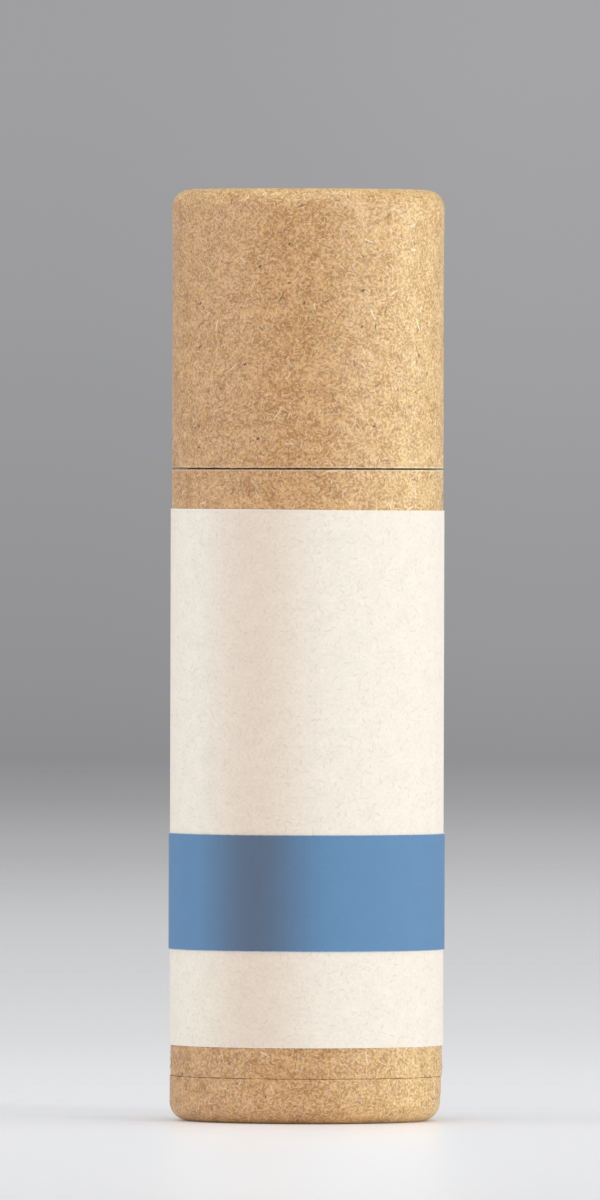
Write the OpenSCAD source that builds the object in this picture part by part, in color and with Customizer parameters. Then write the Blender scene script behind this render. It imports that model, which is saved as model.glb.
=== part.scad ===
// Lip balm stick: a twist-up stick of balm in a closed kraft paper tube with a pull-off cap.
// Origin at the centre of the foot, +Z up, the front of the label faces -Y. Millimetres.

/* [Paper tube] */
// Outer diameter of the paper tube
tube_d = 20; // [19:0.5:24]
// Height of the turn base, from the foot to its cut edge
base_h = 3.3; // [3.1:0.1:6]
// Gap between the turn base and the sleeve
base_seam = 0.06; // [0.04:0.02:0.3]
// Height of the sleeve's board
sleeve_h = 44.73; // [42:0.01:60]
// Gap between the boards of the sleeve and of the closed cap
cap_seam = 0.03; // [0.02:0.01:0.2]
// How far the kraft paper stands back from the rim of the board on both sides of that gap
rim_back = 0.06; // [0.02:0.01:0.2]
// Width of the bevel that wear and the cutter leave on those two rims
rim_bevel = 0.35; // [0.1:0.05:0.5]
// Height of the cap, from the rim of its board to its top
cap_h = 20.58; // [20:0.02:28]
// Outer radius of the cap's rolled edge
cap_edge_r = 1.3; // [0.8:0.1:1.5]
// Outer radius of the turn base's rolled edge
base_edge_r = 1.4; // [0.8:0.1:1.5]
// How far the rolled edge reaches in from the outside of the tube
curl_w = 2.2; // [2:0.1:3]
// Radius of the rolled edge on its inner side
curl_lip_r = 0.4; // [0.3:0.1:0.6]
// Depth of the end disc below the rim
curl_depth = 0.8; // [0.7:0.1:1.2]

/* [Paper and board] */
// Thickness of the kraft paper round the outside
kraft_t = 0.15; // [0.1:0.05:0.2]
// Thickness of the board in the wall of the cap and of the turn base
board_t = 0.73; // [0.6:0.01:0.9]
// Thickness of the pale paper inside the cap
liner_t = 0.1; // [0.08:0.01:0.15]
// Thickness of the board end discs
disc_t = 0.75; // [0.5:0.05:1]
// Thickness of the kraft facing on the end discs
facing_t = 0.15; // [0.1:0.05:0.25]
// Wall of the inner tube that forms the neck
neck_t = 0.6; // [0.5:0.05:0.8]
// Thickness of the glue between two layers
glue_t = 0.02; // [0.01:0.005:0.03]
// Width of the butt joint where the kraft paper meets itself
wrap_joint = 0.12; // [0.05:0.01:0.3]
// Direction of the paper joint on the sleeve, in degrees from +X
sleeve_joint_a = 112; // [0:1:359]
// Direction of the paper joint on the turn base, in degrees from +X
base_joint_a = 78; // [0:1:359]
// Direction of the paper joint on the cap, in degrees from +X
cap_joint_a = 64; // [0:1:359]
// Free height in the closed cap, between the mouth of the tube and the cap's end disc
cap_room = 1.1; // [0.5:0.1:4]
// Radial play between the neck and the cap
cap_play = 0.08; // [0.05:0.01:0.1]

/* [Label] */
// Thickness of the label
label_t = 0.08; // [0.06:0.01:0.12]
// Bare height of the sleeve below the label
label_foot = 2.24; // [1:0.05:4]
// Height of the label
label_h = 39.5; // [30:0.5:40]
// Width of the gap where the ends of the label meet at the back
label_joint = 1.2; // [0.5:0.1:3]
// Direction of that gap, in degrees from +X
label_joint_a = 101; // [0:1:359]
// Thickness of the coloured band
band_t = 0.07; // [0.05:0.01:0.1]
// Height of the band's lower edge above the label's lower edge
band_foot = 7.05; // [2:0.05:20]
// Height of the band
band_h = 8.6; // [4:0.1:12]
// Width of the gap where the ends of the band meet at the back
band_joint = 0.8; // [0.5:0.1:3]

/* [Guide tube] */
// Wall of the moulded guide tube
guide_t = 0.68; // [0.5:0.01:0.9]
// Thickness of its floor
floor_t = 1.2; // [1:0.1:1.6]
// Height of the lip that covers the neck's paper edge
lip_h = 0.5; // [0.3:0.1:1]
// Number of guide ribs
rib_n = 4; // [3:1:6]
// Width of a guide rib
rib_w = 0.9; // [0.6:0.1:1.4]
// How far a guide rib stands in from the wall
rib_h = 0.45; // [0.3:0.05:0.6]
// Distance from the top of the ribs to the mouth of the tube
rib_stop = 1.5; // [1:0.1:4]

/* [Screw] */
// Rise of the balm in one turn of the base
lead = 6; // [4:0.5:8]
// Number of thread starts
starts = 2; // [1:1:3]
// Root radius of the screw
root_r = 2.1; // [1.8:0.1:2.4]
// Height of the thread
thread_h = 0.8; // [0.5:0.1:1]
// Width of the thread's crest along the axis
crest_w = 0.6; // [0.4:0.1:0.8]
// Width of each sloping flank along the axis
flank_w = 0.35; // [0.2:0.05:0.5]
// Play between screw and nut
thread_play = 0.16; // [0.14:0.01:0.2]
// Facets of the screw in one turn
facets = 20; // [16:1:24]

/* [Turn hub] */
// Radius of the boss that turns in the guide tube's floor
boss_r = 3.4; // [3.2:0.1:4]
// Width across flats of the screw's drive stub
drive_af = 4; // [3.6:0.1:4.4]
// Thickness of the hub under the drive stub
socket_floor = 0.32; // [0.2:0.02:0.5]
// Radius of the collar that rests on the floor
collar_r = 4.7; // [4.4:0.1:5.4]
// Height of the collar
collar_h = 1; // [0.8:0.1:1.5]
// Thickness of the hub's plate
plate_t = 0.7; // [0.6:0.1:0.9]
// Number of ribs under the plate
hub_ribs = 8; // [4:1:12]
// Number of glue flutes round the hub's rim
flute_n = 24; // [12:1:36]

/* [Carriage and balm] */
// Free height between the collar and the lowered carriage
carriage_lift = 0.5; // [0.3:0.1:2]
// Thickness of the carriage's floor
cup_floor = 1; // [0.8:0.1:1.4]
// Height of the carriage's skirt
skirt_h = 3.2; // [2.5:0.1:5]
// Wall of the skirt
skirt_t = 0.6; // [0.5:0.05:0.8]
// Outer radius of the nut
nut_r = 4.2; // [3.9:0.1:4.6]
// Height of the nut
nut_h = 6; // [5:0.5:8]
// Thickness of a fin
fin_t = 0.7; // [0.5:0.1:1]
// Radial play between the carriage and the guide tube
carriage_play = 0.1; // [0.06:0.01:0.1]
// Radial play between the balm and the guide tube
balm_play = 0.15; // [0.1:0.01:0.2]
// Free height between the balm's top and the mouth of the tube
balm_sink = 3.9; // [3:0.1:6]
// Radius of the balm's rounded shoulder
shoulder_r = 2; // [1:0.1:3]
// Thickness of the solid balm above its bore
balm_over = 5.7; // [4:0.1:12]

/* [Hidden] */
$fn = 96;

kraft = "#bf9668";
board = "#b08a5c";
pale_paper = "#e9dfd0";
label_cream = "#f1e6d8";
band_blue = "#6591bb";
natural_plastic = "#ece9e1";
balm_cream = "#f3e6bf";

// How far a cutting tool runs past what it cuts
cut = 1;
// Play of a part that turns or slides in another, along the axis and across it
running_gap = 0.15;
bearing_play = 0.08;
drive_play = 0.05;

// Radii of the tube's layers, from the outside in
tube_r = tube_d / 2;
core_r = tube_r - kraft_t - glue_t;
board_bore_r = core_r - board_t;
liner_r = board_bore_r - glue_t;
cap_bore_r = liner_r - liner_t;
neck_r = cap_bore_r - cap_play;
neck_bore_r = neck_r - neck_t;
guide_r = neck_bore_r - glue_t;
guide_bore_r = guide_r - guide_t;

// Heights of the tube's pieces
sleeve_z = base_h + base_seam;
sleeve_top = sleeve_z + sleeve_h;
cap_z = sleeve_top + cap_seam;
cap_disc_z = cap_h - curl_depth - facing_t - disc_t;
mouth_z = cap_z + cap_disc_z - cap_room;
neck_top = mouth_z - lip_h;

// Label and band
label_r = tube_r + glue_t;
label_z = sleeve_z + label_foot;
band_r = label_r + label_t + glue_t;
band_z = label_z + band_foot;

// Turn base, from its rolled edge up
base_disc_z = curl_depth + facing_t;
hub_z = base_disc_z + disc_t;
hub_top = base_h - bearing_play;
hub_r = board_bore_r - glue_t;
hub_rim_t = 0.8;
hub_rib_t = 0.6;
hub_centre_r = boss_r + hub_rib_t;
flute_r = 0.25;
boss_top = sleeve_z + floor_t + running_gap;
socket_z = hub_z + socket_floor;
stub_z = socket_z + bearing_play;

// Carriage
collar_top = boss_top + collar_h;
carriage_z = collar_top + carriage_lift;
cup_r = guide_bore_r - carriage_play;
cup_bore_r = cup_r - skirt_t;
cup_top = carriage_z + cup_floor;
skirt_top = carriage_z + skirt_h;
nut_top = carriage_z + nut_h;
rib_play = 0.15;
fin_over = 0.8;
chamfer = 0.25;

// Balm and screw: the screw ends below the solid top of the balm, and the nut stops just below its end
balm_r = guide_bore_r - balm_play;
balm_top = mouth_z - balm_sink;
bore_play = 0.35;
balm_bore_r = root_r + thread_h + bore_play;
bore_top = balm_top - balm_over;
tip_room = 0.6;
tip_h = 0.8;
tip_in = 0.25;
screw_top = bore_top - tip_room - tip_h;
screw_over = 0.6;
screw_root = 0.3;
rise = screw_top - screw_over - nut_top;
echo(str("The balm rises ", rise, " mm in ", rise / lead, " turns of the base"));

// Ring between two radii
module ring(outer_r, inner_r, h) {
    difference() {
        cylinder(h = h, r = outer_r);
        translate([0, 0, -cut]) cylinder(h = h + 2 * cut, r = inner_r);
    }
}

// Quarter of a disc, in the quadrant that the two signs name
module quarter_disc(r, sx, sy) {
    intersection() {
        circle(r = r);
        translate([sx < 0 ? -r : 0, sy < 0 ? -r : 0]) square(r);
    }
}

// Half section of a tube wall with a rolled edge of radius edge_r at height h, drawn in by inset on its
// paper side. The bore and the seat of the end disc are left open below the roll.
module rolled_section(h, edge_r, inset) {
    outer = edge_r - inset;
    inner = curl_lip_r - inset;
    x_in = tube_r - curl_w + inset;
    x_out = tube_r - inset;
    y_top = h - inset;
    difference() {
        union() {
            translate([x_in, 0]) square([inner, y_top - inner]);
            translate([x_in + inner, 0]) square([x_out - outer - x_in - inner, y_top]);
            translate([x_out - outer, 0]) square([outer, y_top - outer]);
            translate([x_in + inner, y_top - inner]) quarter_disc(inner, -1, 1);
            translate([x_out - outer, y_top - outer]) quarter_disc(outer, 1, 1);
        }
        translate([0, -cut]) square([board_bore_r, h - curl_depth + cut]);
    }
}

module rolled_core(h, edge_r) {
    rotate_extrude() rolled_section(h, edge_r, kraft_t + glue_t);
}

// Its cut edge stands back from the rim of the board
module rolled_wrap(h, edge_r, joint_a, back) {
    difference() {
        rotate_extrude() difference() {
            rolled_section(h, edge_r, 0);
            rolled_section(h, edge_r, kraft_t);
            translate([0, -cut]) square([tube_r + cut, cut + back]);
        }
        joint_cut(h, wrap_joint, joint_a);
    }
}

// What the bevel takes off the rim of a board at height 0. up is 1 for a rim that faces up, else -1.
module bevel_cut(up) {
    out = rim_bevel + cut;
    rotate_extrude() polygon([
        [core_r - rim_bevel, 0],
        [core_r + cut, -up * rim_back * out / rim_bevel],
        [core_r + cut, up * cut],
        [core_r - rim_bevel, up * cut]
    ]);
}

// Slot along the tube where two ends of paper meet
module joint_cut(h, w, a) {
    rotate(a) translate([0, -w / 2, -cut]) cube([tube_d, w, h + 2 * cut]);
}

module wrapped_sheet(r, t, h, w, a) {
    difference() {
        ring(r + t, r, h);
        joint_cut(h, w, a);
    }
}

// Turns the rolled edge of a piece made for the cap down to the foot
module as_base() {
    translate([0, 0, base_h]) mirror([0, 0, 1]) children();
}

// Places copies round the axis
module around(n, first = 0) {
    for (i = [0 : n - 1]) rotate(first + i * 360 / n) children();
}

// Thread section: every start has a crest, two flanks and a stretch of root
function polar(r, a) = [r * cos(a), r * sin(a)];
function to_angle(z) = z * 360 / lead;
function thread_points(grow) =
    let (
        crest_a = to_angle(crest_w / 2 + grow),
        root_a = to_angle(crest_w / 2 + flank_w + grow),
        span = 360 / starts,
        crest_n = 2,
        root_n = ceil((span - 2 * root_a) * facets / 360)
    )
    [for (s = [0 : starts - 1]) each concat(
        [for (i = [0 : crest_n])
            polar(root_r + thread_h + grow, s * span - crest_a + i * 2 * crest_a / crest_n)],
        [for (i = [0 : root_n])
            polar(root_r + grow, s * span + root_a + i * (span - 2 * root_a) / root_n)]
    )];

// Left-hand thread from z to z + h, always in the same phase, so screw and nut stay in mesh
module thread(z, h, grow) {
    section = thread_points(grow);
    translate([0, 0, z]) rotate(-to_angle(z))
        linear_extrude(
            height = h,
            twist = to_angle(h),
            slices = ceil(h * facets / lead),
            segments = len(section)
        ) polygon(section);
}

// Cap

module cap_core() {
    color(board) translate([0, 0, cap_z]) difference() {
        rolled_core(cap_h, cap_edge_r);
        bevel_cut(-1);
    }
}

module cap_wrap() {
    color(kraft) translate([0, 0, cap_z]) rolled_wrap(cap_h, cap_edge_r, cap_joint_a, rim_back);
}

module cap_liner() {
    color(pale_paper) translate([0, 0, cap_z]) ring(liner_r, cap_bore_r, cap_disc_z);
}

module cap_end_disc() {
    color(board) translate([0, 0, cap_z + cap_disc_z]) cylinder(h = disc_t, r = liner_r);
}

module cap_end_paper() {
    color(kraft) translate([0, 0, cap_z + cap_disc_z + disc_t]) cylinder(h = facing_t, r = liner_r);
}

// Body

module sleeve_core() {
    color(board) translate([0, 0, sleeve_z]) difference() {
        ring(core_r, neck_r + glue_t, sleeve_h);
        translate([0, 0, sleeve_h]) bevel_cut(1);
    }
}

module sleeve_wrap() {
    color(kraft) translate([0, 0, sleeve_z])
        wrapped_sheet(tube_r - kraft_t, kraft_t, sleeve_h - rim_back, wrap_joint, sleeve_joint_a);
}

module neck_tube() {
    color(kraft) translate([0, 0, sleeve_z]) ring(neck_r, neck_bore_r, neck_top - sleeve_z);
}

module guide_rib(h, grow) {
    depth = rib_h + grow;
    translate([guide_bore_r - depth, -rib_w / 2 - grow, 0])
        cube([depth + guide_t / 2, rib_w + 2 * grow, h]);
}

module guide_tube() {
    floor_top = sleeve_z + floor_t;
    color(natural_plastic) difference() {
        union() {
            translate([0, 0, sleeve_z]) ring(guide_r, guide_bore_r, mouth_z - sleeve_z);
            translate([0, 0, sleeve_z]) cylinder(h = floor_t, r = guide_r - guide_t / 2);
            translate([0, 0, neck_top]) ring(neck_r, guide_bore_r, lip_h);
            translate([0, 0, floor_top - glue_t])
                around(rib_n) guide_rib(mouth_z - rib_stop - floor_top, 0);
        }
        translate([0, 0, sleeve_z - cut]) cylinder(h = floor_t + 2 * cut, r = boss_r + bearing_play);
        // Lead-in of the mouth
        translate([0, 0, mouth_z - chamfer])
            cylinder(h = chamfer + glue_t, r1 = guide_bore_r, r2 = guide_bore_r + chamfer + glue_t);
    }
}

module label() {
    color(label_cream) translate([0, 0, label_z])
        wrapped_sheet(label_r, label_t, label_h, label_joint, label_joint_a);
}

module band() {
    color(band_blue) translate([0, 0, band_z])
        wrapped_sheet(band_r, band_t, band_h, band_joint, label_joint_a);
}

// Turn base

module base_core() {
    color(board) as_base() rolled_core(base_h, base_edge_r);
}

module base_wrap() {
    color(kraft) as_base() rolled_wrap(base_h, base_edge_r, base_joint_a, 0);
}

module base_disc() {
    color(board) translate([0, 0, base_disc_z]) cylinder(h = disc_t, r = liner_r);
}

module base_paper() {
    color(kraft) translate([0, 0, curl_depth]) cylinder(h = facing_t, r = liner_r);
}

module drive_hex(play, h) {
    cylinder(h = h, r = (drive_af / 2 + play) / cos(30), $fn = 6);
}

module turn_hub() {
    color(natural_plastic) difference() {
        union() {
            translate([0, 0, hub_top - plate_t]) cylinder(h = plate_t, r = hub_r - hub_rim_t / 2);
            translate([0, 0, hub_z]) ring(hub_r, hub_r - hub_rim_t, hub_top - hub_z);
            translate([0, 0, hub_z]) cylinder(h = hub_top - hub_z, r = hub_centre_r);
            translate([0, 0, hub_top - plate_t]) cylinder(h = boss_top - hub_top + plate_t, r = boss_r);
            around(hub_ribs) translate([boss_r, -hub_rib_t / 2, hub_z])
                cube([hub_r - hub_rim_t / 2 - boss_r, hub_rib_t, hub_top - hub_z - plate_t / 2]);
        }
        translate([0, 0, socket_z]) drive_hex(drive_play, boss_top - socket_z + cut);
        around(flute_n, 180 / hub_ribs) translate([hub_r, 0, hub_z - cut])
            cylinder(h = hub_top - hub_z + 2 * cut, r = flute_r, $fn = 24);
    }
}

module drive_screw() {
    color(natural_plastic) union() {
        translate([0, 0, stub_z]) drive_hex(0, boss_top - stub_z + screw_root);
        translate([0, 0, boss_top]) cylinder(h = collar_h - chamfer, r = collar_r);
        translate([0, 0, collar_top - chamfer])
            cylinder(h = chamfer, r1 = collar_r, r2 = collar_r - chamfer);
        thread(collar_top - screw_root, screw_top - collar_top + screw_root, 0);
        translate([0, 0, screw_top - screw_root])
            cylinder(h = tip_h + screw_root, r1 = root_r - tip_in, r2 = root_r - tip_in - tip_h / 2);
    }
}

// Carriage and balm

module carriage() {
    color(natural_plastic) difference() {
        union() {
            translate([0, 0, carriage_z]) cylinder(h = cup_floor, r = cup_r - skirt_t / 2);
            translate([0, 0, carriage_z]) ring(cup_r, cup_bore_r, skirt_h);
            translate([0, 0, carriage_z]) cylinder(h = nut_h, r = nut_r);
            fins(0);
        }
        thread(carriage_z - cut, nut_h + 2 * cut, thread_play);
        translate([0, 0, carriage_z - cut])
            around(rib_n) guide_rib(skirt_h + 2 * cut, rib_play);
    }
}

// Fins that hold the balm, one between each two guide ribs
module fins(grow) {
    translate([0, 0, carriage_z + cup_floor / 2]) around(rib_n, 180 / rib_n)
        translate([nut_r - fin_t / 2, -fin_t / 2 - grow, 0]) cube([
            cup_bore_r + skirt_t / 2 - nut_r + fin_t / 2,
            fin_t + 2 * grow,
            skirt_h + fin_over - cup_floor / 2 + grow
        ]);
}

module balm_section() {
    side_top = balm_top - shoulder_r;
    translate([0, cup_top]) square([cup_bore_r - glue_t, skirt_top + glue_t - cup_top]);
    translate([0, skirt_top + glue_t]) square([balm_r, side_top - skirt_top - glue_t]);
    translate([0, side_top]) square([balm_r - shoulder_r, shoulder_r]);
    translate([balm_r - shoulder_r, side_top]) quarter_disc(shoulder_r, 1, 1);
}

module balm() {
    color(balm_cream) difference() {
        rotate_extrude() balm_section();
        translate([0, 0, cup_top - cut]) cylinder(h = nut_top + glue_t - cup_top + cut, r = nut_r + glue_t);
        translate([0, 0, cup_top - cut]) cylinder(h = bore_top - cup_top + cut, r = balm_bore_r);
        translate([0, 0, skirt_top]) around(rib_n) guide_rib(balm_top - skirt_top, rib_play);
        fins(glue_t);
    }
}

cap_core();
cap_wrap();
cap_liner();
cap_end_disc();
cap_end_paper();
sleeve_core();
sleeve_wrap();
neck_tube();
guide_tube();
label();
band();
base_core();
base_wrap();
base_disc();
base_paper();
turn_hub();
drive_screw();
carriage();
balm();
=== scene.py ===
# %% [markdown]
# # Dressing a kraft paper lip balm stick
#
# The solids of the stick come from CAD: a wound paper tube with a pull-off cap, a turn base with a screw, and a
# carriage that lifts the balm. This lesson gives them their looks. It builds the outer papers again as fine
# sheets with cut edges and loose fibres, writes every finish as shader nodes, and sets up a plain studio.
#
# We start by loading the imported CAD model. It is a fixed frame: nothing in it is moved, and every new piece goes
# where the CAD says, in metres.

import math
import random

import bpy
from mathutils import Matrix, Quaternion, Vector, noise


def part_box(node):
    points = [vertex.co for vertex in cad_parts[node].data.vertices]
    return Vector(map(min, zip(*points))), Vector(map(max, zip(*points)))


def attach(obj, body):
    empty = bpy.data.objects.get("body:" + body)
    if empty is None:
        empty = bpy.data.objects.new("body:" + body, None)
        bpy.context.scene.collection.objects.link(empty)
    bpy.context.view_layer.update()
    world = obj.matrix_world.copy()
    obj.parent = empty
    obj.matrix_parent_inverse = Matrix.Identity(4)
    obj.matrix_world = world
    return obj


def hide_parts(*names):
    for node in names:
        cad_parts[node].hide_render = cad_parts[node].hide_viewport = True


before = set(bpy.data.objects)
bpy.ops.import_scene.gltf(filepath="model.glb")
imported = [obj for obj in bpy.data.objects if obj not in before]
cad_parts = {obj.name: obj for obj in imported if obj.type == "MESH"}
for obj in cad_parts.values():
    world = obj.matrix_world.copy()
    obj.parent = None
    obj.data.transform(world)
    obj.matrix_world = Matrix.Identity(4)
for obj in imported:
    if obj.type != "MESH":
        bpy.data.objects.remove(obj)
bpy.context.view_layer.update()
MM = 0.001

# %% [markdown]
# ## The sizes that the papers share
#
# The outer papers are drawn again below, so their places are read from the CAD pieces. Only what a box doesn't
# show is written here: how thick the papers are, the shape of the rolled edges, and where each sheet has its
# joint. The joints of the outer papers are near the back, so that none shows from the front.

# %% Sizes
KRAFT_T = 0.15  # thickness of the papers, in millimetres as everything here
LABEL_T = 0.08
BAND_T = 0.07
CAP_EDGE_R = 1.3  # shoulder of the rolled edge
BASE_EDGE_R = 1.4
CURL_W = 2.2  # how far the roll reaches in
CURL_LIP_R = 0.4  # its inner lip
CURL_DEPTH = 0.8  # how deep the paper goes back into the tube
WRAP_GAP = 0.12  # between the two cut ends of a wrap
LABEL_GAP = 1.2
BAND_GAP = 0.8
CAP_JOINT, SLEEVE_JOINT, BASE_JOINT, LABEL_JOINT = 64, 112, 78, 101  # degrees from +X, and 90 is straight behind
NECK_JOINT = 200


def heights(node):
    """Lowest and highest point of a CAD piece, in millimetres."""
    low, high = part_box(node)
    return low.z / MM, high.z / MM


TUBE_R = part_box("sleeve_wrap")[1].x / MM
CAP_FOOT, CAP_TOP = heights("cap_wrap")
SLEEVE_FOOT, SLEEVE_TOP = heights("sleeve_wrap")
BASE_FOOT, BASE_TOP = heights("base_wrap")
LABEL_FOOT, LABEL_TOP = heights("label")
BAND_FOOT, BAND_TOP = heights("band")
NECK_TOP = heights("neck_tube")[1]
print("tube radius", round(TUBE_R, 2), "label", LABEL_FOOT, LABEL_TOP, "band", BAND_FOOT, BAND_TOP)

# %% [markdown]
# ## Helpers that place nodes
#
# Every finish here is a node tree. Written out by hand, each node takes five lines, and the idea gets lost. So
# `place` adds a node and `feed` wires its inputs, `calc` is one step of arithmetic, and `point_in_mm` gives the
# place on the object, so that all patterns are written in millimetres.


# %% Node helpers
def feed(tree, node, inputs):
    """Sets a node's inputs. Each value is a plain value or another node's output."""
    for key, value in inputs.items():
        if isinstance(value, bpy.types.NodeSocket):
            tree.links.new(value, node.inputs[key])
        else:
            node.inputs[key].default_value = value


def place(tree, kind, inputs=None, **settings):
    """Adds a shader node with its settings and its inputs."""
    made = tree.nodes.new("ShaderNode" + kind)
    for key, value in settings.items():
        setattr(made, key, value)
    feed(tree, made, inputs or {})
    return made


def calc(tree, operation, *values):
    return place(tree, "Math", dict(enumerate(values)), operation=operation).outputs[0]


def vector_calc(tree, operation, *vectors):
    return place(tree, "VectorMath", dict(enumerate(vectors)), operation=operation).outputs[0]


def spin(tree, vector, angle):
    """Turns a point about the Z axis."""
    return place(tree, "VectorRotate", {"Vector": vector, "Angle": angle}, rotation_type="Z_AXIS").outputs[0]


def split(tree, vector):
    return place(tree, "SeparateXYZ", {0: vector}).outputs


def point_in_mm(tree):
    """The shaded point's place on the object, in millimetres."""
    position = place(tree, "TexCoord").outputs["Object"]
    return place(tree, "VectorMath", {0: position, "Scale": 1 / MM}, operation="SCALE").outputs[0]


def from_axis(tree, x, y):
    """Distance from the tube's axis."""
    return calc(tree, "SQRT", calc(tree, "ADD", calc(tree, "MULTIPLY", x, x), calc(tree, "MULTIPLY", y, y)))


print("node helpers ready")

# %% [markdown]
# ## Helpers for masks and colours
#
# A finish is mostly colours mixed by soft masks. `fade` turns a distance into a mask, `sway` moves a value up and
# down with a noise, and `tint` mixes two colours. Colours are written as a paint program shows them, from 0 to
# 255, and `paint` turns them into the linear values that a shader needs.


# %% Mask and colour helpers
def fade(tree, value, start, end, low=0.0, high=1.0):
    """low where value is at start, high where it is at end, and smooth between them."""
    sockets = {"Value": value, "From Min": start, "From Max": end, "To Min": low, "To Max": high}
    return place(tree, "MapRange", sockets, interpolation_type="SMOOTHSTEP").outputs[0]


def noise_of(tree, vector, scale, detail=2.0, roughness=0.5, shift=(0, 0, 0)):
    """Soft noise between about 0.2 and 0.8. scale is in bumps per millimetre."""
    moved = vector_calc(tree, "ADD", vector, shift)
    sockets = {"Vector": moved, "Scale": scale, "Detail": detail, "Roughness": roughness}
    return place(tree, "TexNoise", sockets).outputs[0]


def sway(tree, soft_noise, amount, base):
    """base, moved up and down by the noise times amount."""
    return calc(tree, "MULTIPLY_ADD", calc(tree, "SUBTRACT", soft_noise, 0.5), amount, base)


def strongest(tree, masks):
    """The highest of several masks at each point, and 0 where there are none."""
    top = masks[0] if masks else 0.0
    for mask in masks[1:]:
        top = calc(tree, "MAXIMUM", top, mask)
    return top


def tint(tree, factor, first, second, how="MIX"):
    """Mixes two colours."""
    sockets = {0: factor, 6: first, 7: second}
    return place(tree, "Mix", sockets, data_type="RGBA", blend_type=how).outputs[2]


def times(tree, first, second):
    """Multiplies two colours."""
    return tint(tree, 1.0, first, second, "MULTIPLY")


def even_grey(tree, value):
    return place(tree, "CombineColor", {0: value, 1: value, 2: value}).outputs[0]


def paint(red, green, blue):
    """A paint program's colour as linear values."""
    def linear(c):
        c /= 255
        return c / 12.92 if c <= 0.04045 else ((c + 0.055) / 1.055) ** 2.4

    return (linear(red), linear(green), linear(blue), 1.0)


print("middle grey as a linear value:", round(paint(128, 128, 128)[0], 3))

# %% [markdown]
# ## Helpers for node groups
#
# An effect that several finishes share is built once, as a node group with named sockets, and placed in each
# material with its own values. Copies of the nodes in each material would drift apart as they are tuned.


# %% Group helpers
def node_group(name, inputs, outputs):
    """Gives the group's tree, its inputs and the node that takes its outputs."""
    tree = bpy.data.node_groups.new(name, "ShaderNodeTree")
    for label, kind, value in inputs:
        socket = tree.interface.new_socket(label, in_out="INPUT", socket_type="NodeSocket" + kind)
        if value is not None:
            socket.default_value = value
    for label, kind in outputs:
        tree.interface.new_socket(label, in_out="OUTPUT", socket_type="NodeSocket" + kind)
    print("group", name, "gives", ", ".join(label for label, _ in outputs))
    return tree, tree.nodes.new("NodeGroupInput").outputs, tree.nodes.new("NodeGroupOutput")


def use_group(tree, group, inputs):
    """Places a node group in another tree and gives its outputs."""
    return place(tree, "Group", inputs, node_tree=group).outputs


# %% [markdown]
# ## Paper laid flat
#
# A pattern that is drawn in space would smear where paper bends round the rim. Real fibres lie in the sheet, so
# this group unrolls the tube: it gives each point its place on the flat paper, in millimetres. A UV map could do
# the same for one mesh, but this serves every sheet. Across is the angle times the radius, cut open at the
# sheet's own joint. Up is the height plus the way that the paper has gone inwards over the rolled edge. Rolled
# End is 1 for a sheet that is rolled in at its top and -1 at its foot.

# %% Group: unrolled sheet
sheet_group, given, result = node_group(
    "unrolled_sheet",
    [("Joint Angle", "Float", 0.0), ("Tube Radius", "Float", 10.0), ("Rolled End", "Float", 1.0)],
    [("Sheet", "Vector"), ("Height", "Float"), ("Angle", "Float")],
)
t = sheet_group
x, y, z = split(t, spin(t, point_in_mm(t), calc(t, "MULTIPLY", given["Joint Angle"], -1.0)))
angle = calc(t, "ARCTAN2", calc(t, "MULTIPLY", y, -1.0), calc(t, "MULTIPLY", x, -1.0))  # 0 opposite the joint
across = calc(t, "MULTIPLY", angle, given["Tube Radius"])
gone_in = calc(t, "SUBTRACT", given["Tube Radius"], from_axis(t, x, y))
up = calc(t, "MULTIPLY_ADD", gone_in, given["Rolled End"], z)
flat = place(t, "CombineXYZ", {0: across, 1: up, 2: 0.0}).outputs[0]
feed(t, result, {"Sheet": flat, "Height": z, "Angle": angle})


def unroll(tree, joint, rolled_end=1.0):
    """The flat sheet of a paper that is wound on the tube. joint is in degrees."""
    sockets = {"Joint Angle": math.radians(joint), "Tube Radius": TUBE_R, "Rolled End": rolled_end}
    return use_group(tree, sheet_group, sockets)


# %% [markdown]
# ## Fibres in paper
#
# Kraft paper is a felt of wood fibres, most of them short and pale, a few long or dark. One layer of this group
# strews one fibre in each cell of a Voronoi pattern: the cell's random colour picks how the fibre lies, how long
# it is and how much it bends. The mask is a thin capsule. Several layers with their own sizes make the felt.
# Fibres as geometry would take millions of faces, and plain noise has no strokes in it.

# %% Group: strewn fibres
fibre_group, given, result = node_group(
    "strewn_fibres",
    [
        ("Sheet", "Vector", None),
        ("Cell", "Float", 1.0),
        ("Length", "Float", 0.9),
        ("Width", "Float", 0.1),
        ("Bend", "Float", 0.6),
        ("Seed", "Float", 0.0),
    ],
    [("Mask", "Float"), ("Tone", "Float")],
)
t = fibre_group
SEED_STRIDE = 17.31  # each seed looks at another part of the pattern
seed_shift = place(t, "CombineXYZ", {0: calc(t, "MULTIPLY", given["Seed"], SEED_STRIDE), 1: given["Seed"], 2: 0.0})
seeded = vector_calc(t, "ADD", given["Sheet"], seed_shift.outputs[0])
turned = spin(t, seeded, given["Seed"])
sockets = {"Vector": turned, "Scale": calc(t, "DIVIDE", 1.0, given["Cell"])}
cells = place(t, "TexVoronoi", sockets, voronoi_dimensions="2D").outputs
lie, curl, size = place(t, "SeparateColor", {0: cells["Color"]}).outputs
from_middle = vector_calc(t, "SUBTRACT", turned, cells["Position"])
along, side, _ = split(t, spin(t, from_middle, calc(t, "MULTIPLY", lie, math.tau)))
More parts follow.
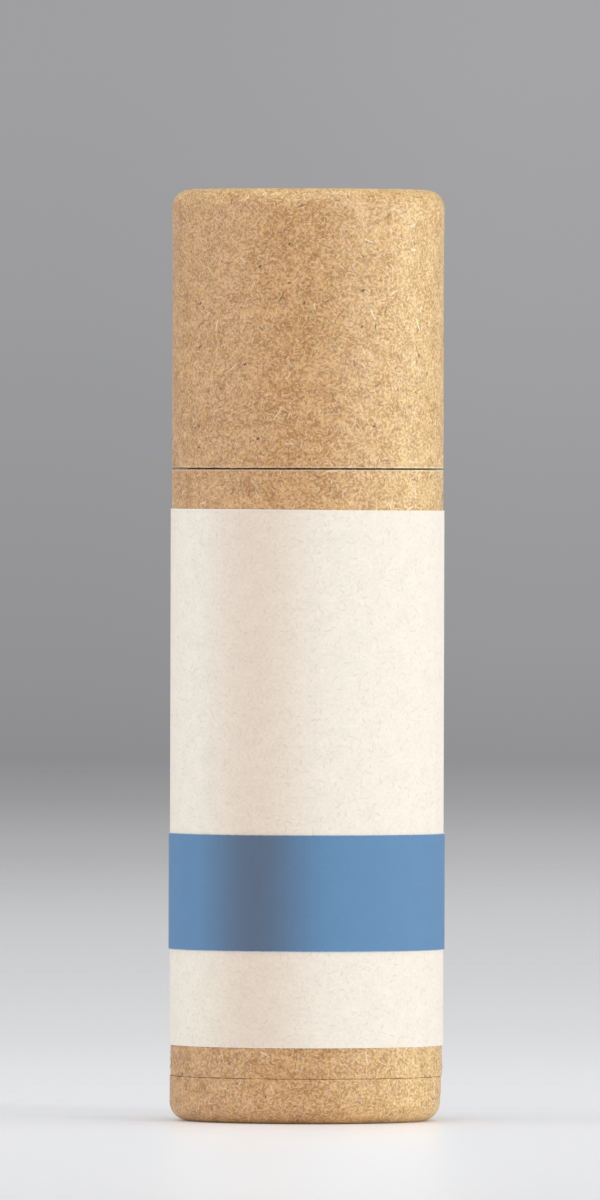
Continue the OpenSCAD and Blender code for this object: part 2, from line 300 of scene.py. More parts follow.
# Half the fibre's length is 0.2 to 0.5 of Length, and its bow grows with the square of the way along it
reach = calc(t, "MULTIPLY", given["Length"], calc(t, "MULTIPLY_ADD", size, 0.3, 0.2))
bend = calc(t, "MULTIPLY", calc(t, "SUBTRACT", curl, 0.5), given["Bend"])
bow = calc(t, "DIVIDE", calc(t, "MULTIPLY", bend, calc(t, "MULTIPLY", along, along)), reach)
off_line = calc(t, "ABSOLUTE", calc(t, "ADD", side, bow))
inside = fade(t, calc(t, "DIVIDE", off_line, given["Width"]), 0.75, 0.2)
ends = fade(t, calc(t, "DIVIDE", calc(t, "ABSOLUTE", along), reach), 1.0, 0.7)
feed(t, result, {"Mask": calc(t, "MULTIPLY", inside, ends), "Tone": curl})


def strew(tree, sheet, cell, length, width, bend, seed):
    """One layer of fibres, in millimetres. Gives its mask, and a tone that is random for each fibre."""
    shape = {"Sheet": sheet, "Cell": cell, "Length": length, "Width": width, "Bend": bend, "Seed": seed}
    layer = use_group(tree, fibre_group, shape)
    return layer["Mask"], layer["Tone"]


# %% [markdown]
# ## Kraft paper
#
# The kraft paper of the cap, the sleeve, the foot and the end facings is one finish, so it is one group. A fine
# grain and two slower noises mix a dark and a light pulp, and the hue drifts a little between pink and yellow, as
# in unbleached paper. One noise alone would look like sand.

# %% Group: kraft paper
kraft_group, given, result = node_group(
    "kraft_paper",
    [("Sheet", "Vector", None), ("Wear", "Float", 0.0)],
    [("Color", "Color"), ("Height", "Float"), ("Roughness", "Float")],
)
t = kraft_group
sheet = given["Sheet"]
DARK_PULP, LIGHT_PULP = paint(170, 111, 28), paint(223, 173, 110)
PINK_CAST, YELLOW_CAST = (1.0, 0.98, 1.08, 1.0), (1.0, 1.02, 0.88, 1.0)
grain = noise_of(t, sheet, 4.4, 3.0, 0.66)
felt = noise_of(t, sheet, 1.0, 3.0, 0.6, (31.0, 7.0, 0.0))
cloud = noise_of(t, sheet, 0.3, 2.0, 0.5, (3.0, 50.0, 0.0))
light_share = 0.5
for soft_noise, amount in ((grain, 3.42), (felt, 1.98), (cloud, 0.72)):
    light_share = sway(t, soft_noise, amount, light_share)
colour = tint(t, light_share, DARK_PULP, LIGHT_PULP)
hue = fade(t, noise_of(t, sheet, 2.3, 1.0, 0.5, (80.0, 13.0, 0.0)), 0.36, 0.64)
colour = times(t, colour, tint(t, hue, PINK_CAST, YELLOW_CAST))
print("the pulp has three noises")

# %% [markdown]
# Pale fibres lie on the pulp, then dark strokes and a few rare marks: long pale fibres, bits of bark and specks.
# The group also gives the height of the felt, for the bump, and a roughness that is a little lower where a fibre
# is pressed flat.

# %% Fibres and marks of kraft paper
PALE_LAYERS = [  # cell, length, width, bend, seed, strength
    (0.95, 1.15, 0.075, 0.2, 1.7, 0.7),
    (0.70, 0.85, 0.075, 0.2, 4.1, 0.75),
    (0.50, 0.60, 0.075, 0.1, 7.9, 0.8),
    (0.36, 0.45, 0.075, 0.1, 11.3, 0.85),
]
layers = []
for *shape, strength in PALE_LAYERS:
    mask, fibre_tone = strew(t, sheet, *shape)
    layers.append(calc(t, "MULTIPLY", mask, calc(t, "MULTIPLY_ADD", fibre_tone, strength, 0.04)))
pale = strongest(t, layers)
colour = tint(t, pale, colour, paint(234, 196, 150))

DARK_STROKES = [  # cell, length, width, bend, seed
    (0.55, 0.7, 0.08, 0.15, 15.1),
    (0.38, 0.45, 0.08, 0.1, 18.7),
]
for shape in DARK_STROKES:
    mask, fibre_tone = strew(t, sheet, *shape)
    shade = calc(t, "MULTIPLY", mask, calc(t, "MULTIPLY", fibre_tone, 0.75))
    colour = tint(t, shade, colour, paint(150, 100, 44))

RARE_MARKS = [  # cell, length, width, bend, seed, share of cells without one, strength, colour
    (1.25, 1.15, 0.09, 0.3, 51.0, 0.88, 0.65, paint(246, 220, 184)),
    (1.20, 0.9, 0.13, 0.2, 21.0, 0.9, 0.7, paint(112, 74, 40)),
    (1.10, 0.2, 0.28, 0.0, 33.0, 0.91, 0.95, paint(52, 38, 28)),
    (0.60, 0.2, 0.12, 0.0, 37.0, 0.86, 0.45, paint(120, 86, 56)),
]
for *shape, bare, strength, mark_colour in RARE_MARKS:
    mask, fibre_tone = strew(t, sheet, *shape)
    mask = calc(t, "MULTIPLY", mask, fade(t, fibre_tone, bare, bare + 0.03))
    colour = tint(t, calc(t, "MULTIPLY", mask, strength), colour, mark_colour)
colour = tint(t, calc(t, "MULTIPLY", given["Wear"], 0.5), colour, paint(236, 206, 172))

relief = calc(t, "MULTIPLY_ADD", grain, 0.9, calc(t, "MULTIPLY", pale, 0.9))
feed(t, result, {"Color": colour, "Height": relief, "Roughness": calc(t, "MULTIPLY_ADD", pale, -0.1, 0.45)})
print("kraft paper has", len(PALE_LAYERS), "layers of pale fibres and", len(RARE_MARKS), "kinds of rare marks")

# %% [markdown]
# ## Worn cut edges
#
# Where kraft paper is cut, its fibres stand up and catch the light, so the last tenths of a millimetre look pale
# and ragged. Blender can find edges by the curvature of a mesh, but then every fold would wear as well. So this
# group gives a mask beside one edge at a given height. Noise moves its border, so it isn't a drawn line.

# %% Group: cut edge
edge_group, given, result = node_group(
    "cut_edge",
    [("Height", "Float", 0.0), ("Sheet", "Vector", None), ("Edge", "Float", 0.0), ("Width", "Float", 0.2)],
    [("Mask", "Float")],
)
t = edge_group
ragged = calc(t, "MULTIPLY_ADD", noise_of(t, given["Sheet"], 3.1, 2.0, 0.6), 1.6, 0.2)
away = calc(t, "ABSOLUTE", calc(t, "SUBTRACT", given["Height"], given["Edge"]))
feed(t, result, {"Mask": fade(t, calc(t, "DIVIDE", away, calc(t, "MULTIPLY", ragged, given["Width"])), 1.0, 0.1)})


def worn_edge(tree, rolled, edge, width):
    """Mask beside a cut edge of an unrolled sheet. edge is its height."""
    sockets = {"Height": rolled["Height"], "Sheet": rolled["Sheet"], "Edge": edge, "Width": width}
    return use_group(tree, edge_group, sockets)["Mask"]


# %% [markdown]
# ## One shader for every finish
#
# Every finish here has one surface, so each is a Principled shader. What is the same all over goes straight on
# its sockets, and what changes over the surface comes from the nodes.


# %% Material helpers
def new_material(name, plain=None):
    """A material with one Principled shader. plain are the sockets that are the same all over the surface."""
    material = bpy.data.materials.new(name)
    material.use_nodes = True
    tree = material.node_tree
    shader = tree.nodes["Principled BSDF"]
    feed(tree, shader, plain or {})
    return material, tree, shader


def surface(tree, shader, colour, roughness, height, depth, strength):
    """Feeds the shader what changes over the surface. depth is the relief's depth in millimetres."""
    bump = place(tree, "Bump", {"Height": height, "Distance": depth * MM, "Strength": strength}).outputs[0]
    feed(tree, shader, {"Base Color": colour, "Roughness": roughness, "Normal": bump})


def upright_zone(tree, rolled, joint, turn, width):
    """Soft mask along an upright line, turn degrees to the right of the front and width degrees to each side."""
    front = 90 - joint  # the front is at 270 degrees, and the sheet's angle is counted from opposite its joint
    away = calc(tree, "ABSOLUTE", calc(tree, "SUBTRACT", rolled["Angle"], math.radians(front + turn)))
    return fade(tree, away, math.radians(width), 0.0)


print("material helpers ready")

# %% [markdown]
# ## Kraft materials
#
# One material for each sheet, because each is cut open at its own joint and has its own cut edges. Colour,
# roughness and bump come from the groups, and a trace of sheen stands for the fuzz. The paper also has light
# painted into its colour, which the label doesn't: a painted sheen in a pale upright zone at the front right,
# where the lamp at the right glosses the tube, and a painted highlight round the rim that noise keeps uneven.

# %% Kraft materials
KRAFT_SHINE = {"IOR": 1.6, "Specular IOR Level": 1.0, "Sheen Weight": 0.05, "Sheen Roughness": 0.5}
KRAFT_RELIEF = {"depth": 0.05, "strength": 0.5}
KRAFT_WEAR = 0.13  # width of a worn edge
WHITE = (1.0, 1.0, 1.0, 1.0)
# painted light: the paper's colour is multiplied up to this where the painted sheen and rim highlight are
# strongest
PAINTED_LIGHT_CAST = (1.3, 1.56, 1.72, 1.0)  # what the palest paper is times the rest
# where the painted sheen sits: degrees to the right of the front, and its half width
SHEEN_TURN, SHEEN_WIDTH = 64, 74  # degrees
# painted highlight round the rolled rim: how far below the top it starts, and how pale it makes the paper
RIM_HIGHLIGHT_H, RIM_HIGHLIGHT_SHARE = 1.32, 0.75  # the pale rim's height, and how pale it gets


def kraft_material(name, joint, edges, rolled_end=1.0, rim=None):
    """Kraft paper wound on the tube, with a painted sheen down its front right. joint is in degrees, edges are the
    heights of its cut edges, and rim is the height from which a painted highlight makes the paper paler towards
    the rolled rim."""
    material, tree, shader = new_material(name, KRAFT_SHINE)
    rolled = unroll(tree, joint, rolled_end)
    wear = strongest(tree, [worn_edge(tree, rolled, edge, KRAFT_WEAR) for edge in edges])
    paper = use_group(tree, kraft_group, {"Sheet": rolled["Sheet"], "Wear": wear})
    # painted sheen: a pale upright zone down the front right, where the lamp at the right glosses the paper
    painted_light = upright_zone(tree, rolled, joint, SHEEN_TURN, SHEEN_WIDTH)
    if rim:
        # painted highlight: a band round the rolled rim that faces the light, with an uneven lower border
        uneven = noise_of(tree, rolled["Sheet"], 0.35, 2.0, 0.5, (3.0, 8.0, 0.0))
        rise = sway(tree, uneven, 1.6, calc(tree, "SUBTRACT", rolled["Height"], rim))
        painted_light = strongest(tree, [painted_light, fade(tree, rise, 0.0, 1.0, 0.0, RIM_HIGHLIGHT_SHARE)])
    # the painted sheen and highlight make the paper's own colour paler
    colour = times(tree, paper["Color"], tint(tree, painted_light, WHITE, PAINTED_LIGHT_CAST))
    surface(tree, shader, colour, paper["Roughness"], paper["Height"], **KRAFT_RELIEF)
    return material


def flat_kraft_material(name):
    """Kraft paper glued flat on an end disc."""
    material, tree, shader = new_material(name, KRAFT_SHINE)
    paper = use_group(tree, kraft_group, {"Sheet": point_in_mm(tree), "Wear": 0.0})
    surface(tree, shader, paper["Color"], paper["Roughness"], paper["Height"], **KRAFT_RELIEF)
    return material


cap_kraft = kraft_material("kraft_cap", CAP_JOINT, [CAP_FOOT], rim=CAP_TOP - RIM_HIGHLIGHT_H)
sleeve_kraft = kraft_material("kraft_sleeve", SLEEVE_JOINT, [SLEEVE_TOP])
base_kraft = kraft_material("kraft_base", BASE_JOINT, [], rolled_end=-1.0)
end_kraft = flat_kraft_material("kraft_end_facing")
print("kraft materials:", cap_kraft.name, sleeve_kraft.name, base_kraft.name, end_kraft.name)

# %% [markdown]
# ## Meshes from points
#
# The shapes of the papers and fibres follow from sums over angle and height. So their points and faces are
# worked out in code, which is more exact here than to bend or sculpt a ready mesh.


# %% Mesh helpers
def add_object(name, data):
    made = bpy.data.objects.new(name, data)
    bpy.context.scene.collection.objects.link(made)
    return made


def add_mesh(name, points, faces, crisp=None):
    """A smooth mesh in the scene. Edges of more than crisp degrees stay sharp."""
    mesh = bpy.data.meshes.new(name)
    mesh.from_pydata(points, [], faces)
    mesh.validate()
    mesh.shade_smooth()
    if crisp:
        mesh.set_sharp_from_angle(angle=math.radians(crisp))
    return add_object(name, mesh)


print("mesh helpers ready")

# %% [markdown]
# ## Sheets wound round the tube
#
# A real wrap is one thin sheet with two cut ends that meet in a joint. An open surface with a Solidify modifier
# would be quicker, but its cut edges couldn't be shaped. So the sheet is built as a closed strip: its section, an
# outer and an inner line, is carried round the axis from one side of the joint to the other, and both ends are
# closed. Two rules may shape it: `push` moves the outside out, because hand-rolled paper is never quite round,
# and `lift_edge` moves the rows at a cut edge up and down.

# %% Build a wound sheet
COLUMNS = 480  # steps round the tube


def level(*_):
    """The rule of a sheet that is moved nowhere."""
    return 0.0


def wound_sheet(name, outer, inner, joint, gap, push=level, lift_edge=level):
    """outer and inner are the section's lines, as (radius, height) in millimetres. joint is in degrees."""
    girth_r = outer[0][0]
    half = gap / 2 / girth_r
    first = math.radians(joint) + half
    span = math.tau - 2 * half
    rows = len(outer)
    points, faces = [], []
    for c in range(COLUMNS + 1):
        a = first + span * c / COLUMNS
        near_joint = min(c, COLUMNS - c) * span / COLUMNS * girth_r
        pushed = [(r + push(a, z, near_joint), z) for r, z in outer]
        for line in (pushed, inner):
            for i, (r, z) in enumerate(line):
                z += lift_edge(a, i, rows)
                points.append((r * math.cos(a) * MM, r * math.sin(a) * MM, z * MM))
    step = 2 * rows
    ring = [*range(rows), *reversed(range(rows, step))]
    for c in range(COLUMNS):
        low, high = c * step, (c + 1) * step
        for i, here in enumerate(ring):
            there = ring[(i + 1) % step]
            faces.append((low + here, high + here, high + there, low + there))
    last = COLUMNS * step
    for i in range(rows - 1):
        faces.append((i, i + 1, rows + i + 1, rows + i))
        faces.append((last + i + 1, last + i, last + rows + i, last + rows + i + 1))
    return add_mesh(name, points, faces, crisp=40)


def dress(piece, body, material, replaced):
    """Gives a new piece its finish and its body, and hides the CAD piece that it stands for."""
    piece.data.materials.append(material)
    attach(piece, body)
    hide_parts(replaced)
    print(piece.name, "stands for", replaced, "with", len(piece.data.polygons), "faces")


# %% [markdown]
# ## The rolled edge
#
# The end of the cap and the foot of the base are the same form: the paper runs up the wall, over a round
# shoulder, across a narrow flat and round a small lip into the tube. A bevel on a cylinder would give the
# shoulder but not the roll. The line below is measured from the cut edge of the paper, so the cap uses it as it
# is and the base uses it upside down.


# %% Line of a rolled edge
def steps(low, high, count):
    return [low + (high - low) * i / count for i in range(count + 1)]


def arc(centre, r, start, end, count):
    turns = [math.radians(d) for d in steps(start, end, count)]
    return [(centre[0] + r * math.cos(turn), centre[1] + r * math.sin(turn)) for turn in turns]


def rolled_line(h, edge_r, inset, wall_rows):
    """(radius, distance from the cut edge) of the paper's face, inset millimetres below the outside."""
    shoulder = (TUBE_R - edge_r, h - edge_r)
    lip = (TUBE_R - CURL_W + CURL_LIP_R, h - CURL_LIP_R)
    wall = [(TUBE_R - inset, z) for z in wall_rows]
    over = arc(shoulder, edge_r - inset, 0, 90, 12)
    down = arc(lip, CURL_LIP_R - inset, 90, 180, 6)
    return wall + over + down + [(TUBE_R - CURL_W + inset, h - CURL_DEPTH)]


CUT_ROWS = [0, 0.05, 0.12, 0.25, 0.5]  # rows crowded at the cut edge, where it is ragged
CAP_H = CAP_TOP - CAP_FOOT
BASE_H = BASE_TOP - BASE_FOOT
cap_rows = CUT_ROWS + steps(1.0, CAP_H - CAP_EDGE_R - 0.2, 16)
base_rows = CUT_ROWS + steps(0.8, BASE_H - BASE_EDGE_R - 0.1, 3)


def cap_line(inset):
    return [(r, CAP_FOOT + d) for r, d in rolled_line(CAP_H, CAP_EDGE_R, inset, cap_rows)]


def base_line(inset):
    return [(r, BASE_TOP - d) for r, d in rolled_line(BASE_H, BASE_EDGE_R, inset, base_rows)]


print("cap height", round(CAP_H, 2), "base height", round(BASE_H, 2))

# %% [markdown]
# ## The cap's paper
#
# The photograph shows a slight swelling below the rolled top, where the roll has pushed the wall out, and a cut
# edge that is not quite level. A sculpted mesh could have both, but not for another size of cap. So they come
# from rules: `cap_push` works on the radius, and `ragged_edge` on the height of the rows next to the cut.

# %% Cap wrap
BARE_RISE = 0.02  # bare kraft stands this far off the CAD's wall, and wobbles by as much
SWELL, SWELL_BELOW, SWELL_W = 0.05, 1.8, 1.1  # the swelling, its distance below the cap's top, and its width
EDGE_SHARES = (1.0, 0.7, 0.35, 0.1)  # how far the first rows follow a ragged edge


def wobble(a, z, size, seed):
    """Soft unevenness between -1 and 1 over about size millimetres."""
    return noise.noise(Vector((TUBE_R * math.cos(a) / size, TUBE_R * math.sin(a) / size, z / size + seed)))


def cap_push(a, z, near_joint):
    swell = SWELL * math.exp(-(((CAP_TOP - SWELL_BELOW - z) / SWELL_W) ** 2))
    return BARE_RISE + swell + BARE_RISE * wobble(a, z, 6.0, 3.0)


def ragged_edge(seed, size, offset=0.0, tilt=0.0, last=False):
    """A rule for the first rows of a sheet, or for the last ones. tilt lowers the right side."""
    def lift(a, i, rows):
        i = rows - 1 - i if last else i
        share = EDGE_SHARES[i] if i < len(EDGE_SHARES) else 0
        rough = noise.fractal(Vector((TUBE_R * math.cos(a) * 2.1, TUBE_R * math.sin(a) * 2.1, seed)), 0.6, 2.0, 3)
        return share * (size * rough + offset - tilt * math.cos(a))

    return lift


cap_cut = ragged_edge(5.0, 0.03)
cap_wrap = wound_sheet("cap_paper", cap_line(0), cap_line(KRAFT_T), CAP_JOINT, WRAP_GAP, cap_push, cap_cut)
dress(cap_wrap, "cap", cap_kraft, "cap_wrap")

# %% [markdown]
# ## The sleeve's and the base's paper
#
# The sleeve's paper shows only above and below the label, so it may be uneven there and has to lie flat under
# the label. It isn't rolled, so its section is two upright lines. The base is the cap's roll upside down. In the
# photograph it sits a hair to the left of the sleeve, so its paper is raised on that side, and towards the
# ground it comes in a little on the right.


# %% Sleeve and base wraps
def clamp(share):
    return max(0.0, min(1.0, share))


def close_to_edges(low, high, count, fine=(0.06, 0.16, 0.35), first_even=0.8):
    """Heights from low to high, with a few fine rows crowded at both ends."""
    even = steps(low + first_even, high - first_even, count)
    return [low] + [low + f for f in fine] + even + [high - f for f in fine[::-1]] + [high]


def straight_sheet(name, node, thick, row_count, joint, gap, push=level, lift_edge=level):
    """A sheet without rolled ends, in the place of a CAD piece."""
    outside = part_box(node)[1].x / MM
    rows = close_to_edges(*heights(node), row_count)
    outer, inner = [(outside, z) for z in rows], [(outside - thick, z) for z in rows]
    return wound_sheet(name, outer, inner, joint, gap, push, lift_edge)


def sleeve_push(a, z, near_joint):
    bare = clamp(max(z - LABEL_TOP - 0.1, LABEL_FOOT - 0.1 - z) / 0.5)
    return bare * (BARE_RISE + BARE_RISE * wobble(a, z, 5.0, 11.0))


sleeve_top_edge = ragged_edge(9.0, 0.025, last=True)
sleeve_foot_edge = ragged_edge(13.0, 0.02, offset=-0.012)


def sleeve_edges(a, i, rows):
    return sleeve_top_edge(a, i, rows) + sleeve_foot_edge(a, i, rows)


sleeve_wrap = straight_sheet(
    "sleeve_paper", "sleeve_wrap", KRAFT_T, 40, SLEEVE_JOINT, WRAP_GAP, sleeve_push, sleeve_edges
)
dress(sleeve_wrap, "body", sleeve_kraft, "sleeve_wrap")

BASE_SHIFT = 0.06  # to the left
WORN_IN, WORN_BELOW = 0.04, 2.2


def base_push(a, z, near_joint):
    worn_in = clamp((WORN_BELOW - z) / 0.5) * (WORN_IN + WORN_IN * math.cos(a))
    return BARE_RISE - BASE_SHIFT * math.cos(a) - worn_in + BARE_RISE * wobble(a, z, 4.0, 23.0)


base_cut = ragged_edge(17.0, 0.02, offset=0.012)
base_wrap = wound_sheet(
    "base_paper_wrap", base_line(0), base_line(KRAFT_T), BASE_JOINT, WRAP_GAP, base_push, base_cut
)
dress(base_wrap, "turn_base", base_kraft, "base_wrap")

# %% [markdown]
# ## Label and band
#
# The label is smooth uncoated stock, so its finish is mostly quiet: a fine mottle, a few thin fibres and a paler
# cut edge. The blue band is printed paper over it. Kraft's felt, only weaker, would be too coarse for either, so
# both share a group of their own for the mottle.

# %% Group: paper mottle
mottle_group, given, result = node_group(
    "paper_mottle",
    [("Sheet", "Vector", None), ("Fine", "Float", 0.04), ("Broad", "Float", 0.03)],
    [("Tone", "Float"), ("Height", "Float"), ("Fibres", "Float")],
)
t = mottle_group
fine = noise_of(t, given["Sheet"], 4.0, 3.0, 0.65, (5.0, 5.0, 5.0))
broad = noise_of(t, given["Sheet"], 0.7, 3.0, 0.6, (9.0, 1.0, 0.0))
STOCK_FIBRES = [  # cell, length, width, bend, seed, tone from which a cell has one
    (0.55, 0.6, 0.08, 0.4, 3.3, 0.3),
    (0.9, 0.9, 0.08, 0.4, 6.1, 0.4),
    (2.6, 0.6, 0.1, 0.4, 9.7, 0.8),
]
layers = []
for *shape, bare in STOCK_FIBRES:
    mask, fibre_tone = strew(t, given["Sheet"], *shape)
    layers.append(calc(t, "MULTIPLY", mask, fade(t, fibre_tone, bare, bare + 0.7)))
tone = sway(t, broad, given["Broad"], sway(t, fine, given["Fine"], 1.0))
feed(t, result, {"Tone": tone, "Height": fine, "Fibres": strongest(t, layers)})


def mottled(tree, colour, sheet, fine, broad):
    """A colour with the mottle on it, and the mottle's outputs."""
    mottle = use_group(tree, mottle_group, {"Sheet": sheet, "Fine": fine, "Broad": broad})
    return times(tree, colour, even_grey(tree, mottle["Tone"])), mottle


# %% [markdown]
# Label and band stay bare of any print. Both are darker in a soft upright zone that runs down their front left.
# The cut edge between them is worn on both papers.

# %% Label and band materials
ZONE_TURN, ZONE_WIDTH = -22, 34  # degrees, as in upright_zone
STOCK_WEAR, WORN_STOCK = 0.07, paint(250, 244, 234)


def printed_material(name, colour, shaded, contrast, fibre_colour, fibre_share, edges, roughness):
    """shaded is the colour in the darker zone, and contrast that of the mottle."""
    material, tree, shader = new_material(name)
    rolled = unroll(tree, LABEL_JOINT)
    # a soft darker upright zone down the front left
    zone = upright_zone(tree, rolled, LABEL_JOINT, ZONE_TURN, ZONE_WIDTH)
    face = tint(tree, zone, colour, shaded)
    face, mottle = mottled(tree, face, rolled["Sheet"], contrast, contrast * 0.5)
    face = tint(tree, calc(tree, "MULTIPLY", mottle["Fibres"], fibre_share), face, fibre_colour)
    for edge in edges:
        worn = calc(tree, "MULTIPLY", worn_edge(tree, rolled, edge, STOCK_WEAR), 0.6)
        face = tint(tree, worn, face, WORN_STOCK)
    shine = sway(tree, mottle["Height"], 0.12, roughness)
    surface(tree, shader, face, shine, mottle["Height"], depth=0.012, strength=0.6)
    return material


label_paper = printed_material(
    "label_stock",
    colour=paint(244, 235, 221),
    shaded=paint(231, 214, 197),
    contrast=0.3,
    fibre_colour=paint(200, 172, 140),
    fibre_share=0.3,
    edges=[LABEL_FOOT, LABEL_TOP, BAND_FOOT - 0.05],
    roughness=0.62,
)
band_paper = printed_material(
    "band_stock",
    colour=paint(94, 138, 179),
    shaded=paint(86, 104, 128),
    contrast=0.16,
    fibre_colour=paint(84, 118, 152),
    fibre_share=0.1,
    edges=[BAND_FOOT, BAND_TOP],
    roughness=0.6,
)
print("printed papers:", label_paper.name, band_paper.name)

# %% [markdown]
# The label's corners stand off a little at its joint, at the back of the tube, as a stiff label does. The
# middle of the joint is held down by the band. Both are straight sheets, like the sleeve's paper.

# %% Label and band sheets
CORNER_LIFT, CORNER_H, CORNER_W = 0.14, 4.0, 2.5


def label_push(a, z, near_joint):
    free_end = clamp(1 - min(z - LABEL_FOOT, LABEL_TOP - z) / CORNER_H)
    return CORNER_LIFT * free_end * clamp(1 - near_joint / CORNER_W) ** 2


label_cut = ragged_edge(61.0, 0.004, tilt=0.05, last=True)
label = straight_sheet("label_sheet", "label", LABEL_T, 24, LABEL_JOINT, LABEL_GAP, label_push, label_cut)
dress(label, "body", label_paper, "label")
band = straight_sheet("band_sheet", "band", BAND_T, 6, LABEL_JOINT, BAND_GAP)
dress(band, "body", band_paper, "band")

# %% [markdown]
# ## Board and liner
#
# These show when the cap is off. Board is wound from many layers, so its cut edge has fine rings. The distance
# from the axis draws them, and a noise keeps them from being perfect circles. The cap's lining is thin pale
# paper, so the label's mottle fits it.

# %% Board and liner
PLY = 0.24  # thickness of one layer of board
board, tree, shader = new_material("wound_board", {"Sheen Weight": 0.1})
where = point_in_mm(tree)
x, y, _ = split(tree, where)
waver = calc(tree, "MULTIPLY_ADD", noise_of(tree, where, 0.8), 0.25, from_axis(tree, x, y))
plies = calc(tree, "SINE", calc(tree, "MULTIPLY", waver, math.tau / PLY))
mottle = use_group(tree, mottle_group, {"Sheet": where, "Fine": 0.5, "Broad": 0.3})
ringed = even_grey(tree, calc(tree, "MULTIPLY_ADD", plies, 0.07, mottle["Tone"]))
colour = times(tree, paint(182, 146, 106), ringed)
matt = calc(tree, "MULTIPLY_ADD", mottle["Height"], 0.2, 0.7)
relief = calc(tree, "MULTIPLY_ADD", plies, 0.4, mottle["Height"])
surface(tree, shader, colour, matt, relief, depth=0.04, strength=0.8)

liner, tree, shader = new_material("cap_liner_paper")
colour, mottle = mottled(tree, paint(231, 221, 205), point_in_mm(tree), 0.14, 0.1)
matt = calc(tree, "MULTIPLY_ADD", mottle["Height"], 0.15, 0.55)
surface(tree, shader, colour, matt, mottle["Height"], depth=0.02, strength=0.6)
print("inner papers:", board.name, liner.name)

# %% [markdown]
# ## Plastic and balm
#
# The guide tube, carriage, hub and screw are natural polypropylene: milky, a little see-through at thin edges,
# with the faint waves of moulding, which run along the tube. The balm is cast wax, smooth and soft, with a fine
# bloom and a few pits. In both, light enters and comes out near by. That is subsurface scattering, and plain
# transparency would look like glass.

# %% Plastic and balm
MOULD_FLOW = (1.0, 1.0, 0.25)  # the waves are four times as long upwards
plastic, tree, shader = new_material(
    "natural_polypropylene", {"Subsurface Weight": 0.25, "Subsurface Scale": 0.002, "IOR": 1.49}
)
where = point_in_mm(tree)
flow = noise_of(tree, vector_calc(tree, "MULTIPLY", where, MOULD_FLOW), 0.7, 3.0, 0.5)
pores = noise_of(tree, where, 7.0, 2.0, 0.5)
colour = tint(tree, flow, paint(226, 222, 210), paint(240, 238, 230))
gloss = calc(tree, "MULTIPLY_ADD", pores, 0.16, 0.3)
relief = calc(tree, "MULTIPLY_ADD", pores, 0.3, flow)
surface(tree, shader, colour, gloss, relief, depth=0.02, strength=0.5)

balm, tree, shader = new_material(
    "cast_balm", {"Subsurface Weight": 0.35, "Subsurface Scale": 0.0025, "IOR": 1.44}
)
where = point_in_mm(tree)
bloom = noise_of(tree, where, 0.9, 4.0, 0.6)
pits = noise_of(tree, where, 5.0, 2.0, 0.5, (2.0, 4.0, 6.0))
colour = tint(tree, fade(tree, bloom, 0.3, 0.7), paint(238, 222, 176), paint(247, 236, 202))
gloss = calc(tree, "MULTIPLY_ADD", bloom, 0.25, 0.26)
relief = calc(tree, "MULTIPLY_ADD", pits, 0.4, bloom)
surface(tree, shader, colour, gloss, relief, depth=0.03, strength=0.5)

neck_kraft = kraft_material("kraft_neck", NECK_JOINT, [NECK_TOP])
FINISHES = {
    board: ["cap_core", "cap_end_disc", "sleeve_core", "base_core", "base_disc"],
    liner: ["cap_liner"],
    end_kraft: ["cap_end_paper", "base_paper"],
    neck_kraft: ["neck_tube"],
    plastic: ["guide_tube", "turn_hub", "drive_screw", "carriage"],
    balm: ["balm"],
}
for material, nodes in FINISHES.items():
    for name in nodes:
        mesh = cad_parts[name].data
        mesh.materials.clear()
        mesh.materials.append(material)
    print(material.name, "on", ", ".join(nodes))

# %% [markdown]
# ## Loose fibres
#
# Under a close lens kraft paper is never smooth in outline: single fibres stand off it, and the cut edges at the
# seam are frayed. A bump map can't change an outline, and a hair system wouldn't be exported, so these fibres are
# meshes: thin closed slivers with three sides, seated in the paper at one end or both. They lie along the same
# rolled line as the paper, so they follow it round the rim as well.

# %% Build one fibre
TAPER = (0.35, 0.9, 1.0, 0.9, 0.3)  # how thick a fibre is at its five points
SIDES = 3


def place_on(line, s, a, lift):
    """Point lift millimetres off the paper, s millimetres along its line, at angle a."""
    for (r0, z0), (r1, z1) in zip(line, line[1:]):
        length = math.hypot(r1 - r0, z1 - z0)
        if s <= length or (r1, z1) == line[-1]:
            share = min(1.0, s / length)
            nr, nz = (z1 - z0) / length, (r0 - r1) / length
            r, z = r0 + (r1 - r0) * share + nr * lift, z0 + (z1 - z0) * share + nz * lift
            return Vector((r * math.cos(a), r * math.sin(a), z)) * MM
        s -= length


def sliver(points, faces, path, thick):
    """Adds a thin tapered fibre along the path. thick is its radius in millimetres."""
    start = len(points)
    for i, p in enumerate(path):
        ahead = (path[min(i + 1, len(path) - 1)] - path[max(i - 1, 0)]).normalized()
        side = ahead.cross(Vector((p.x, p.y, 0)).normalized()).normalized()
        out = side.cross(ahead)
        r = thick * MM * TAPER[i]
        for k in range(SIDES):
            turn = math.tau * k / SIDES
            points.append(p + side * r * math.cos(turn) + out * r * math.sin(turn))
    for i in range(len(path) - 1):
        low, high = start + SIDES * i, start + SIDES * (i + 1)
        for k in range(SIDES):
            after = (k + 1) % SIDES
            faces.append((low + k, low + after, high + after, high + k))
    tip = start + SIDES * (len(path) - 1)
    faces.append((start + 2, start + 1, start))
    faces.append((tip, tip + 1, tip + 2))


fibre_paint, tree, shader = new_material("loose_fibre", {"Roughness": 0.6, "Sheen Weight": 0.2})
drift = fade(tree, noise_of(tree, point_in_mm(tree), 1.1, 1.0, 0.5), 0.35, 0.65)
feed(tree, shader, {"Base Color": tint(tree, drift, paint(186, 146, 104), paint(229, 200, 162))})
print("a fibre has", SIDES * len(TAPER), "points")

